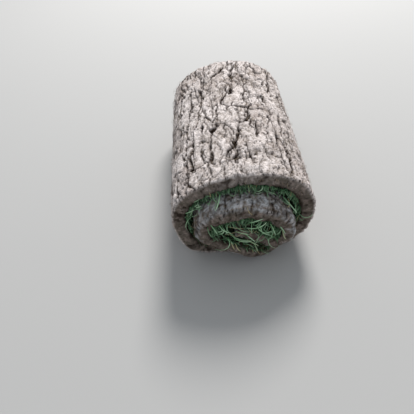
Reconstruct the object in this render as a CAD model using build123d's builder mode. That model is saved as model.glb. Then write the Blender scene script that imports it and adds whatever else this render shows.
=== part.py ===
from build123d import *
from math import cos, radians, sin, sqrt, tan
import os

# A roll of cut turf: one strip of soil and roots, with its grass on, rolled up grass side in.
# It lies on its side along Y with its near end towards -Y. Seen from there, the strip winds
# clockwise. Its tail lies flat on the ground. From the tail it goes up the left side, over
# the top and down the right side, touches the ground again, climbs over the end of the tail
# and makes a second, smaller wrap. That wrap folds back on itself at the right, and the strip's
# other end, the tongue, lies inside the fold. The second wrap has slid out of the near end.

# driving dimensions, in millimetres and degrees
strip_width = 457.0  # an 18 inch strip
soil_depth = 30.0  # soil and roots under the grass
grass_depth = 16.0  # grass pressed between two wraps
heart_width = 140.0  # clear width inside the second wrap
heart_height = 25.0  # clear height over the end of the tongue
tail_right = -34.0  # where the tail ends, from the middle of the roll
tail_flat = 40.0  # length of the tail that lies flat on the ground
climb = 32.0  # slope of the strip where it climbs over the end of the tail
foot_radius = 60.0  # bend between the ground and the climb
fold_radius = 10.0  # bend of the grass face inside the fold
tongue = 74.0  # straight length of the tongue, from the fold to the end of the strip
drift = 42.0  # how far the second wrap stands out of the near end
grass_overhang = 4.0  # grass leaning out past the cut edges of the soil
worn_edge = 6.0  # worn corner between the soil face and the cut edges
crack_width = 6.0  # the main cracks in the soil face, at their widest
crack_depth = 5.0
clear = 2.0  # how far the cracks' cutters stand out of the soil face
hair = 0.3  # clearance around the grass

# sizes that follow
wrap = soil_depth + grass_depth
inner_reach = heart_width / 2 + soil_depth
outer_reach = inner_reach + wrap
near_end = -(strip_width + drift) / 2
far_end = near_end + strip_width + drift
outer_near = far_end - strip_width
inner_far = near_end + strip_width

# the main cracks of the outer wrap, each a line of points: how far round the soil face from
# the tail to the climb's end, and how far along the strip from the near end, both as shares
main_cracks = (
    ((0.342, 0.084), (0.341, 0.237), (0.355, 0.336)),
    ((0.375, 0.347), (0.378, 0.402), (0.386, 0.445)),
    ((0.400, 0.106), (0.394, 0.194), (0.397, 0.259)),
    ((0.398, 0.303), (0.408, 0.351), (0.424, 0.402)),
    ((0.427, 0.117), (0.442, 0.183), (0.465, 0.259), (0.468, 0.351)),
    ((0.515, 0.248), (0.515, 0.358), (0.517, 0.412)),
    ((0.476, 0.364), (0.489, 0.402), (0.499, 0.469)),
    ((0.404, 0.511), (0.415, 0.544), (0.423, 0.570)),
    ((0.435, 0.500), (0.456, 0.518), (0.486, 0.509), (0.515, 0.496), (0.548, 0.509)),
    ((0.459, 0.620), (0.468, 0.664), (0.468, 0.708), (0.458, 0.752)),
    ((0.468, 0.763), (0.471, 0.828), (0.488, 0.916)),
    ((0.398, 0.795), (0.415, 0.828), (0.434, 0.876), (0.459, 0.944)),
    ((0.372, 0.675), (0.376, 0.708), (0.368, 0.763)),
    ((0.511, 0.774), (0.499, 0.850)),
    ((0.564, 0.741), (0.566, 0.784), (0.576, 0.828)),
    ((0.552, 0.868), (0.547, 0.938)),
    ((0.585, 0.336), (0.605, 0.380), (0.618, 0.395)),
    ((0.589, 0.095), (0.582, 0.172), (0.582, 0.270), (0.586, 0.314)),
    ((0.298, 0.489), (0.293, 0.533), (0.295, 0.577)),
    ((0.325, 0.391), (0.332, 0.423), (0.338, 0.467)),
    ((0.322, 0.620), (0.324, 0.686)),
    ((0.288, 0.128), (0.286, 0.194), (0.289, 0.237)),
    ((0.550, 0.561), (0.550, 0.649)),
    ((0.252, 0.073), (0.248, 0.172), (0.253, 0.259)),
    ((0.240, 0.369), (0.243, 0.478), (0.238, 0.566)),
    ((0.257, 0.653), (0.253, 0.763), (0.259, 0.850)),
    ((0.211, 0.106), (0.215, 0.216), (0.208, 0.303)),
    ((0.201, 0.434), (0.206, 0.544), (0.199, 0.631)),
    ((0.218, 0.708), (0.212, 0.828), (0.217, 0.927)),
    ((0.173, 0.172), (0.169, 0.292), (0.174, 0.391)),
    ((0.164, 0.544), (0.170, 0.664), (0.163, 0.763)),
    ((0.638, 0.073), (0.633, 0.172), (0.640, 0.281)),
    ((0.632, 0.522), (0.639, 0.631), (0.630, 0.741)),
    ((0.655, 0.784), (0.651, 0.916)),
    ((0.673, 0.150), (0.679, 0.259), (0.671, 0.369)),
    ((0.681, 0.500), (0.676, 0.609), (0.684, 0.697)),
    ((0.714, 0.084), (0.709, 0.216), (0.715, 0.303)),
    ((0.720, 0.456), (0.724, 0.588), (0.716, 0.675)),
    ((0.709, 0.763), (0.715, 0.872), (0.708, 0.927)),
    ((0.755, 0.237), (0.761, 0.369), (0.754, 0.478)),
    ((0.761, 0.631), (0.755, 0.763), (0.762, 0.861)),
)

# headings, for lines drawn in the plane of the near end: X to the right and Y up
left, right, up, down = Vector(-1, 0), Vector(1, 0), Vector(0, 1), Vector(0, -1)
uphill = Vector(-cos(radians(climb)), sin(radians(climb)))
across = Vector(sin(radians(climb)), cos(radians(climb)))

# points of the strip's outer face, from its tail to its tongue
tail_end = Vector(tail_right, 0)
tail_bend = tail_end + left * tail_flat
step = tail_end + up * wrap
foot_run = foot_radius * tan(radians(climb / 2))
foot = Vector(tail_right + wrap / tan(radians(climb)) + foot_run, 0)
climb_start = foot + left * foot_run + uphill * foot_run
fold_outside = soil_depth + fold_radius
fold_x = inner_reach - fold_outside
fold_y = step.Y + (wrap + fold_outside - (fold_x - step.X) * across.X) / across.Y
fold_side = Vector(inner_reach, fold_y)
tongue_start = Vector(fold_x, fold_y) - across * fold_outside
tongue_end = tongue_start + uphill * tongue
inner_top = (tongue_end + across * soil_depth).Y + heart_height + soil_depth
roll_top = inner_top + wrap
flank = roll_top / 2


def sunk(point, heading, depth):
    """The point, moved square to the heading into the roll."""
    return point + Vector(heading.Y, -heading.X) * depth


def bend(start, heading, finish, last_heading, depth):
    """Two smooth arcs from start to finish that keep both headings, drawn at a depth."""
    chord = finish - start
    both = heading + last_heading
    spread = 2 * (1 - heading.dot(last_heading))
    reach = (-chord.dot(both) + sqrt(chord.dot(both) ** 2 + spread * chord.dot(chord))) / spread
    corner, last_corner = start + heading * reach, finish - last_heading * reach
    meeting, middle = (corner + last_corner) / 2, (last_corner - corner).normalized()
    TangentArc(sunk(start, heading, depth), sunk(meeting, middle, depth), tangent=heading)
    TangentArc(sunk(meeting, middle, depth), sunk(finish, last_heading, depth), tangent=middle)


def first_wrap(depth):
    """From the end of the tail up the left side, over the top and to the right side."""
    Line(sunk(tail_end, left, depth), sunk(tail_bend, left, depth))
    bend(tail_bend, left, Vector(-outer_reach, flank), up, depth)
    bend(Vector(-outer_reach, flank), up, Vector(0, roll_top), right, depth)
    bend(Vector(0, roll_top), right, Vector(outer_reach, flank), down, depth)


def crossing(depth):
    """From the right side down to the ground and up over the end of the tail."""
    bend(Vector(outer_reach, flank), down, foot, left, depth)
    JernArc(sunk(foot, left, depth), left, foot_radius - depth, -climb)
    Line(sunk(climb_start, uphill, depth), sunk(step, uphill, depth))


def second_wrap(depth, beyond=0.0):
    """From above the end of the tail once round to the end of the tongue, or beyond it."""
    bend(step, uphill, Vector(-inner_reach, flank), up, depth)
    bend(Vector(-inner_reach, flank), up, Vector(0, inner_top), right, depth)
    bend(Vector(0, inner_top), right, fold_side, down, depth)
    JernArc(sunk(fold_side, down, depth), down, fold_outside - depth, -(90 + climb))
    Line(sunk(tongue_start, uphill, depth), sunk(tongue_end + uphill * beyond, uphill, depth))


def end_line(point, heading, depth, clearance=0.0):
    """A cut square through the strip."""
    Line(sunk(point, heading, -clearance), sunk(point, heading, depth + clearance))


# the soil, as seen from the near end, in three stretches
with BuildSketch(Plane.XZ) as first_soil:
    with BuildLine():
        first_wrap(0)
        first_wrap(soil_depth)
        end_line(tail_end, left, soil_depth)
        end_line(Vector(outer_reach, flank), down, soil_depth)
    make_face()

with BuildSketch(Plane.XZ) as crossing_soil:
    with BuildLine():
        crossing(0)
        crossing(soil_depth)
        end_line(Vector(outer_reach, flank), down, soil_depth)
        end_line(step, uphill, soil_depth)
    make_face()

with BuildSketch(Plane.XZ) as second_soil:
    with BuildLine():
        second_wrap(0)
        second_wrap(soil_depth)
        end_line(step, uphill, soil_depth)
        end_line(tongue_end, uphill, soil_depth)
    make_face()

# the room that the soil takes in the grass, with the clearance on both faces
with BuildSketch(Plane.XZ) as soil_room:
    with BuildLine():
        first_wrap(-hair)
        first_wrap(soil_depth + hair)
        end_line(tail_end, left, soil_depth, hair)
        end_line(Vector(outer_reach, flank), down, soil_depth, hair)
    make_face()
    with BuildLine():
        crossing(-hair)
        crossing(soil_depth + hair)
        end_line(Vector(outer_reach, flank), down, soil_depth, hair)
        end_line(step, uphill, soil_depth, hair)
    make_face()
    with BuildLine():
        second_wrap(-hair, hair)
        second_wrap(soil_depth + hair, hair)
        end_line(step, uphill, soil_depth, hair)
        end_line(tongue_end + uphill * hair, uphill, soil_depth, hair)
    make_face()

# everything inside the roll that isn't soil is grass
with BuildSketch(Plane.XZ) as all_grass:
    with BuildLine():
        first_wrap(0)
        crossing(0)
        Line(step, tail_end)
    make_face()
    add(soil_room.sketch, mode=Mode.SUBTRACT)

# the space inside the second wrap
with BuildSketch(Plane.XZ) as second_space:
    with BuildLine():
        second_wrap(0)
        end_line(step, uphill, wrap)
        Line(sunk(step, uphill, wrap), tongue_end)
    make_face()

# the soil and the grass of each stretch, the crossing's from the right side to the tail's end
with BuildSketch(Plane.XZ) as crossing_side:
    with Locations(((outer_reach + step.X) / 2, flank / 2)):
        Rectangle(outer_reach - step.X, flank)

with BuildSketch(Plane.XZ) as first_grass:
    add(all_grass.sketch)
    add(second_space.sketch, mode=Mode.SUBTRACT)
    add(crossing_side.sketch, mode=Mode.SUBTRACT)

with BuildSketch(Plane.XZ) as crossing_grass:
    add(all_grass.sketch)
    add(second_space.sketch, mode=Mode.SUBTRACT)
    add(crossing_side.sketch, mode=Mode.INTERSECT)

with BuildSketch(Plane.XZ) as second_grass:
    add(all_grass.sketch)
    add(second_space.sketch, mode=Mode.INTERSECT)

# the strip's two edges seen from above, while it drifts along the roll in the crossing
drift_start = inner_reach
drift_stop = sunk(step, uphill, wrap).X


def drift_edge(before, after):
    """One edge of the strip from above: straight, a smooth shift, and straight again."""
    middle = ((drift_start + drift_stop) / 2, (before + after) / 2)
    Line((outer_reach, before), (drift_start, before))
    shift = TangentArc((drift_start, before), middle, tangent=left)
    TangentArc(middle, (drift_stop, after), tangent=shift % 1)
    Line((drift_stop, after), (step.X, after))


def drift_plan(overhang):
    """The outline of the crossing from above, with its edges moved out by the overhang."""
    drift_edge(outer_near - overhang, near_end - overhang)
    drift_edge(far_end + overhang, inner_far + overhang)
    Line((outer_reach, outer_near - overhang), (outer_reach, far_end + overhang))
    Line((step.X, near_end - overhang), (step.X, inner_far + overhang))


with BuildPart() as crossing_mat:
    with BuildSketch(Plane.XZ):
        add(crossing_soil.sketch)
    extrude(amount=far_end, both=True)
    with BuildSketch():
        with BuildLine():
            drift_plan(0)
        make_face()
    extrude(amount=roll_top, mode=Mode.INTERSECT)

# the whole soil face, to tell the edges that wear
with BuildLine() as soil_face:
    first_wrap(0)
    crossing(0)
    second_wrap(0)


def wears(edge):
    """Whether an edge runs along one of the strip's two long corners on the soil face."""
    spot = edge @ 0.5
    on_face = soil_face.line.distance_to(Vector(spot.X, spot.Z)) < hair / 10
    return on_face and abs((edge @ 1 - edge @ 0).Y) < strip_width / 2


# the outer wrap's soil face, to set out the cracks
with BuildLine() as outer_face:
    first_wrap(0)
    crossing(0)


def face_spot(around, along):
    """A point of the soil face and the outward direction there."""
    spot, heading = outer_face.line @ around, outer_face.line % around
    return Vector(spot.X, outer_near + along * strip_width, spot.Y), Vector(-heading.Y, 0, heading.X)


with BuildPart() as soil_mat:
    with BuildSketch(Plane.XZ.offset(-outer_near)):
        add(first_soil.sketch)
    extrude(amount=-strip_width)
    with BuildSketch(Plane.XZ.offset(-near_end)):
        add(second_soil.sketch)
    extrude(amount=-strip_width)
    add(crossing_mat.part)
    chamfer([edge for edge in soil_mat.edges() if wears(edge)], length=worn_edge)
    cuts = []
    for crack in main_cracks:
        spots = [face_spot(around, along) for around, along in crack]
        for number, (spot, outward) in enumerate(spots):
            before, after = spots[max(number - 1, 0)][0], spots[min(number + 1, len(spots) - 1)][0]
            share = 0.15 if number in (0, len(spots) - 1) else 1.0
            with BuildSketch(Plane(spot, x_dir=outward, z_dir=after - before)):
                with BuildLine():
                    Polyline(
                        (clear, -crack_width * share),
                        (clear, crack_width * share),
                        (0, crack_width / 2 * share),
                        (-crack_depth * share, 0),
                        (0, -crack_width / 2 * share),
                        close=True,
                    )
                make_face()
        cuts.append(loft(ruled=True, mode=Mode.PRIVATE))
    add(cuts, mode=Mode.SUBTRACT)

with BuildPart() as crossing_blades:
    with BuildSketch(Plane.XZ):
        add(crossing_grass.sketch)
    extrude(amount=far_end + grass_overhang, both=True)
    with BuildSketch():
        with BuildLine():
            drift_plan(grass_overhang)
        make_face()
    extrude(amount=roll_top, mode=Mode.INTERSECT)

with BuildPart() as grass:
    with BuildSketch(Plane.XZ.offset(grass_overhang - outer_near)):
        add(first_grass.sketch)
    extrude(amount=-(strip_width + 2 * grass_overhang))
    with BuildSketch(Plane.XZ.offset(grass_overhang - near_end)):
        add(second_grass.sketch)
    extrude(amount=-(strip_width + 2 * grass_overhang))
    add(crossing_blades.part)

soil_mat.part.label = "soil_mat"
grass.part.label = "grass"
os.makedirs("parts", exist_ok=True)
export_step(soil_mat.part, "parts/soil_mat.step")
export_step(grass.part, "parts/grass.step")
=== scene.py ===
"""A roll of cut turf, dressed for rendering.

The roll is one strip of soil, roots and grass, wound up grass side in. Every surface here is
worked out on the strip laid flat, in millimetres: s runs along the strip from its tail, v runs
across it and w goes from the soil face into the roll. The winding then carries s, v and w into
the roll's own place in space, so cracks, cut edges and blades all follow the wraps.
"""

import logging
import math
from dataclasses import dataclass, field
from enum import Enum

import bpy
import numpy as np
from mathutils import Matrix

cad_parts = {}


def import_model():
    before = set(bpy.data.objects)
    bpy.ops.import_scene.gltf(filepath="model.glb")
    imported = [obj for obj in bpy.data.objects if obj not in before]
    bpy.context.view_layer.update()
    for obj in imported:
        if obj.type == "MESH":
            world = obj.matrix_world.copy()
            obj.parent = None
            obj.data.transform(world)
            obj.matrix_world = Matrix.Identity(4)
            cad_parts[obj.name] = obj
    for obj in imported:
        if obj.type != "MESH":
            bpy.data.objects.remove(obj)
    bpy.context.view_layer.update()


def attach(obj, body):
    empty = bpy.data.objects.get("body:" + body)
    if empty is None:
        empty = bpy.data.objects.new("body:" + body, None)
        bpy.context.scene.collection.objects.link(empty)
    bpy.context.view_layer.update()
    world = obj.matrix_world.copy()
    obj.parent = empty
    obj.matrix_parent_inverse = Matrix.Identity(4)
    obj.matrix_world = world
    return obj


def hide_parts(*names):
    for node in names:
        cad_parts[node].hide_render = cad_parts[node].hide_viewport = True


LOG = logging.getLogger("roll_of_turf")
MM = 0.001
PHOTO_PIXELS = 414
TINY = 1e-9
Array = np.ndarray

# Odd numbers that stir the bits of a whole number well, and two that turn a seed into one.
STIRRERS = (2654435761, 2246822519, 3266489917)
SEED_STEP, SEED_START = 747796405, 2891336453

# How far apart the seeds of a swell's finer layers are, and how much their sum is widened.
LAYER_SEEDS, WIDENED = 31, 1.6

# A noise of scale 1 has swells of half a metre, so this over a size in millimetres is its scale.
SWELLS_MM = 500

# The outer wrap's main cracks, as in the source, each a line of points: how far round the soil
# face from the tail to the climb's end, and how far along from the near end, in thousandths.
MAIN_CRACKS = (
    (342, 84, 341, 237, 355, 336),
    (375, 347, 378, 402, 386, 445),
    (400, 106, 394, 194, 397, 259),
    (398, 303, 408, 351, 424, 402),
    (427, 117, 442, 183, 465, 259, 468, 351),
    (515, 248, 515, 358, 517, 412),
    (476, 364, 489, 402, 499, 469),
    (404, 511, 415, 544, 423, 570),
    (435, 500, 456, 518, 486, 509, 515, 496, 548, 509),
    (459, 620, 468, 664, 468, 708, 458, 752),
    (468, 763, 471, 828, 488, 916),
    (398, 795, 415, 828, 434, 876, 459, 944),
    (372, 675, 376, 708, 368, 763),
    (511, 774, 499, 850),
    (564, 741, 566, 784, 576, 828),
    (552, 868, 547, 938),
    (585, 336, 605, 380, 618, 395),
    (589, 95, 582, 172, 582, 270, 586, 314),
    (298, 489, 293, 533, 295, 577),
    (325, 391, 332, 423, 338, 467),
    (322, 620, 324, 686),
    (288, 128, 286, 194, 289, 237),
    (550, 561, 550, 649),
    (252, 73, 248, 172, 253, 259),
    (240, 369, 243, 478, 238, 566),
    (257, 653, 253, 763, 259, 850),
    (211, 106, 215, 216, 208, 303),
    (201, 434, 206, 544, 199, 631),
    (218, 708, 212, 828, 217, 927),
    (173, 172, 169, 292, 174, 391),
    (164, 544, 170, 664, 163, 763),
    (638, 73, 633, 172, 640, 281),
    (632, 522, 639, 631, 630, 741),
    (655, 784, 651, 916),
    (673, 150, 679, 259, 671, 369),
    (681, 500, 676, 609, 684, 697),
    (714, 84, 709, 216, 715, 303),
    (720, 456, 724, 588, 716, 675),
    (709, 763, 715, 872, 708, 927),
    (755, 237, 761, 369, 754, 478),
    (761, 631, 755, 763, 762, 861),
)

# The blades that show most at the near end, as read off the photograph: the pixels across and
# down of the root and of the tip, then y of the root and of the tip in millimetres, the bow,
# the width in millimetres, and how pale and how dead the blade is. The paleness is partly the
# blade's own and partly painted sunlight.
LAID_BLADES = (
    (220.0, 193.6, 215.0, 211.4, -206, -241, 0.3, 3.8, 1.0, 0.0),
    (217.4, 197.0, 213.6, 210.0, -206, -241, -0.2, 2.8, 0.9, 0.0),
    (211.4, 198.0, 208.0, 206.0, -206, -235, 0.2, 2.4, 0.6, 0.0),
    (283.4, 197.0, 297.0, 213.0, -206, -240, 0.3, 3.0, 0.9, 0.0),
    (279.0, 197.0, 291.4, 206.0, -206, -233, -0.2, 2.4, 0.5, 0.0),
    (247.4, 207.6, 253.0, 214.4, -249, -254, -0.5, 1.5, 1.0, 1.0),
    (184.0, 214.0, 195.0, 209.4, -205, -214, 0.2, 3.0, 0.8, 0.0),
    (187.4, 218.6, 193.0, 207.0, -205, -214, -0.2, 2.6, 0.7, 0.0),
    (191.0, 203.0, 200.0, 199.0, -205, -214, 0.2, 2.4, 0.5, 0.0),
    (248.0, 223.4, 263.4, 219.0, -249, -256, 0.3, 3.0, 0.9, 0.0),
    (251.0, 228.6, 267.0, 222.0, -249, -258, -0.3, 3.2, 1.0, 0.0),
    (225.0, 235.4, 239.4, 231.4, -249, -258, 0.5, 3.0, 1.0, 0.8),
    (235.4, 231.4, 249.8, 234.4, -249, -259, 0.2, 2.8, 0.9, 0.1),
    (235.4, 239.4, 252.2, 241.0, -249, -260, -0.2, 4.4, 1.0, 0.0),
    (244.6, 233.4, 255.4, 242.2, -249, -259, 0.3, 3.0, 0.9, 0.0),
    (256.0, 225.0, 270.0, 235.4, -249, -257, -0.3, 3.0, 0.8, 0.0),
    (270.6, 224.2, 275.4, 235.4, -249, -256, 0.2, 3.2, 0.9, 0.0),
    (276.2, 222.6, 285.4, 234.0, -249, -256, 0.3, 3.0, 0.7, 0.0),
    (282.6, 230.6, 286.2, 239.4, -249, -256, -0.2, 2.6, 0.9, 0.5),
    (210.2, 224.6, 217.8, 235.4, -249, -257, 0.3, 3.2, 0.8, 0.0),
    (207.4, 227.4, 212.2, 237.4, -249, -257, -0.2, 2.8, 0.6, 0.0),
    (214.2, 233.0, 225.0, 230.0, -249, -258, 0.4, 2.8, 0.7, 0.0),
    (218.6, 225.0, 231.4, 233.0, -249, -257, -0.4, 3.0, 0.9, 0.0),
    (259.0, 234.0, 273.0, 231.0, -249, -258, 0.3, 2.8, 0.6, 0.0),
    (231.0, 242.6, 234.6, 249.8, -249, -259, 0.2, 2.6, 1.0, 0.9),
    (235.4, 243.4, 241.0, 251.4, -249, -259, -0.3, 2.6, 0.9, 0.8),
    (254.2, 243.4, 257.8, 251.0, -249, -258, 0.2, 2.6, 0.7, 0.2),
    (273.0, 231.0, 269.0, 239.4, -249, -257, 0.2, 2.6, 0.6, 0.0),
    (246.6, 239.4, 259.0, 245.8, -249, -259, 0.3, 2.8, 0.8, 0.3),
)


# Random shapes, for crust, cracks and blades


def lattice(cells: tuple[Array, ...], seed: int) -> Array:
    """Gives each whole-numbered place its own even random number.

    Args:
        cells: Whole-numbered coordinates, one array for each axis.
        seed: Picks one of many such fields.

    Returns:
        Numbers from 0 to 1, from the coordinates' bits stirred by multiply and shift.
    """
    mixed = np.full(cells[0].shape, (seed * SEED_STEP + SEED_START) % 2**32, np.uint32)
    for cell, factor in zip(cells, STIRRERS):
        mixed ^= cell.astype(np.int64).astype(np.uint32) * np.uint32(factor)
        mixed ^= mixed >> np.uint32(15)
        mixed *= np.uint32(STIRRERS[1])
        mixed ^= mixed >> np.uint32(13)
    return mixed / 2.0**32


def swell(s: Array, v: Array, w: Array, grain: float, octaves: int, seed: int) -> Array:
    """Gives smooth random swells with finer ones on them.

    Args:
        s, v, w: Places on the flat strip, in millimetres.
        grain: Size of the largest swell, in millimetres.
        octaves: How many times the swells are halved in size and height and added.
        seed: Picks the field.

    Returns:
        Heights from about -1 to 1: random numbers at the corners of a cubic grid, blended
        by the smooth step 3t^2 - 2t^3 along each axis. Their sum bunches about 0, so it is
        widened at the end.
    """
    total, height, reach = np.zeros(np.broadcast(s, v, w).shape), 1.0, 0.0
    for octave in range(octaves):
        size = grain / 2**octave
        places = [np.broadcast_to(axis, total.shape) / size for axis in (s, v, w)]
        low = [np.floor(place) for place in places]
        blend = [place - base for place, base in zip(places, low)]
        blend = [t * t * (3 - 2 * t) for t in blend]
        layer = np.zeros(total.shape)
        for corner in range(8):
            steps = [(corner >> axis) & 1 for axis in range(3)]
            share = np.ones(total.shape)
            for t, step in zip(blend, steps):
                share = share * (t if step else 1 - t)
            place = tuple(base + step for base, step in zip(low, steps))
            layer += share * lattice(place, seed + LAYER_SEEDS * octave)
        total += height * (2 * layer - 1)
        reach += height
        height *= 0.5
    return total / reach * WIDENED


def mound(away: Array, reach: float) -> Array:
    """A smooth mound of height 1: e to the power of minus (away / reach) squared."""
    return np.exp(-((away / reach) ** 2))


@dataclass(frozen=True)
class Crazing:
    """Cracks that part a drying crust into plates, longer along the roll than around it.

    The sizes are in millimetres: how far apart the cracks lie around and along the roll,
    how wide the widest opens and how far a crack wanders. Of the cracks, open_share opens,
    and least_around is the share of its width that one around the roll keeps.
    """

    around: float
    along: float
    width: float
    open_share: float
    wander: float
    seed: int
    least_around: float = 0.25
    curl: float = 1.4

    def at(self, s: Array, v: Array) -> tuple[Array, Array]:
        """Finds how open the crack is at each place, and the height of the plate it is on.

        Each cell of a stretched grid holds one random centre. A plate is the ground nearest
        to one centre, and a crack runs half way between two. It opens by a random share, and
        more where it runs along the roll, because that is how bending pulls the crust apart.

        Args:
            s, v: Places on the flat strip, in millimetres.

        Returns:
            Openness, from 0 on a plate to 1 in the middle of a crack, and a random plate
            height from -1 to 1.
        """
        nothing = np.zeros_like(s)
        grain = self.curl * self.around
        s = s + self.wander * swell(s, v, nothing, grain, 3, self.seed + 5)
        v = v + self.wander * swell(s, v, nothing, grain, 3, self.seed + 6)
        a, b = s / self.around, v / self.along
        cell_a, cell_b = np.floor(a), np.floor(b)
        nearest = np.full(a.shape, np.inf)
        home = [nothing, nothing, nothing, nothing]
        for da in (-1, 0, 1):
            for db in (-1, 0, 1):
                cell = (cell_a + da, cell_b + db)
                spot = self._centre(*cell)
                gap = (spot[0] - a) ** 2 + (spot[1] - b) ** 2
                closer = gap < nearest
                nearest = np.where(closer, gap, nearest)
                home = [np.where(closer, new, old) for new, old in zip((*spot, *cell), home)]
        openness = np.zeros_like(a)
        for da in range(-2, 3):
            for db in range(-2, 3):
                if da == db == 0:
                    continue
                spot = self._centre(home[2] + da, home[3] + db)
                over_a, over_b = spot[0] - home[0], spot[1] - home[1]
                off = ((spot[0] + home[0]) / 2 - a) * over_a + ((spot[1] + home[1]) / 2 - b) * over_b
                slope = np.maximum(np.hypot(over_a / self.around, over_b / self.along), TINY)
                lengthwise = (over_a / self.around / slope) ** 2
                pair = lattice((home[2] * 2 + da, home[3] * 2 + db), self.seed + 9)
                pair = np.clip((pair - 1 + self.open_share) / self.open_share, 0, 1)
                width = self.width * pair * (self.least_around + (1 - self.least_around) * lengthwise)
                here = np.clip(1 - off / slope / np.maximum(width, TINY), 0, 1)
                openness = np.maximum(openness, here)
        return openness, 2 * lattice((home[2], home[3]), self.seed + 17) - 1

    def _centre(self, cell_a: Array, cell_b: Array) -> tuple[Array, Array]:
        """The random centre inside a cell."""
        return (
            cell_a + lattice((cell_a, cell_b), self.seed),
            cell_b + lattice((cell_a, cell_b), self.seed + 1),
        )


@dataclass(frozen=True)
class MainCracks:
    """The long cracks that the winding tore open in the soil face, in millimetres."""

    round_mm: float
    along_mm: float
    width: float = 3.4
    least_width: float = 0.3
    wander: float = 5.0
    wander_grain: float = 17.0
    ragged: float = 0.4
    ragged_grain: float = 14.0
    steepness: float = 1.3
    taper: float = 16.0
    least_end: float = 0.12
    reach: float = 14.0

    def at(self, s: Array, v: Array) -> Array:
        """Finds how open the nearest main crack is.

        The distance to each line of points is the least of the distances to its pieces, after
        the place is shaken by random swells so that the crack is jagged. Openness is 1 about
        the line and falls to 0 at the half width, which narrows towards both tips.

        Args:
            s, v: Places on the flat strip, in millimetres.

        Returns:
            Openness from 0 to 1.
        """
        nothing, opened = 0 * s, 0 * s
        s = s + self.wander * swell(s, v, nothing, self.wander_grain, 3, 301)
        v = v + self.wander * swell(s, v, nothing, self.wander_grain, 3, 302)
        ragged = 1 + self.ragged * swell(s, v, nothing, self.ragged_grain, 2, 303)
        for line in MAIN_CRACKS:
            shares = np.array(line).reshape(-1, 2) / 1000
            spots = (shares - (0, 0.5)) * (self.round_mm, self.along_mm)
            middle, reach = spots.mean(0), np.ptp(spots, 0) / 2 + self.reach
            near = (np.abs(s - middle[0]) < reach[0]) & (np.abs(v - middle[1]) < reach[1])
            if not near.any():
                continue
            here_s, here_v = s[near], v[near]
            lengths = np.hypot(*np.diff(spots, axis=0).T)
            passed = np.concatenate(((0,), np.cumsum(lengths)))
            best, where = np.full(here_s.shape, np.inf), np.zeros(here_s.shape)
            for start, stop, length, before in zip(spots[:-1], spots[1:], lengths, passed):
                way = (stop - start) / length
                over_s, over_v = here_s - start[0], here_v - start[1]
                run = np.clip(over_s * way[0] + over_v * way[1], 0, length)
                gap = np.hypot(over_s - run * way[0], over_v - run * way[1])
                where = np.where(gap < best, before + run, where)
                best = np.minimum(best, gap)
            ends = np.clip(np.minimum(where, passed[-1] - where) / self.taper, self.least_end, 1)
            width = np.maximum(self.width * ends * ragged[near], self.least_width)
            opening = np.clip(self.steepness * (1 - best / width), 0, 1)
            opened[near] = np.maximum(opened[near], opening)
        return opened


# The way the strip is wound


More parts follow.
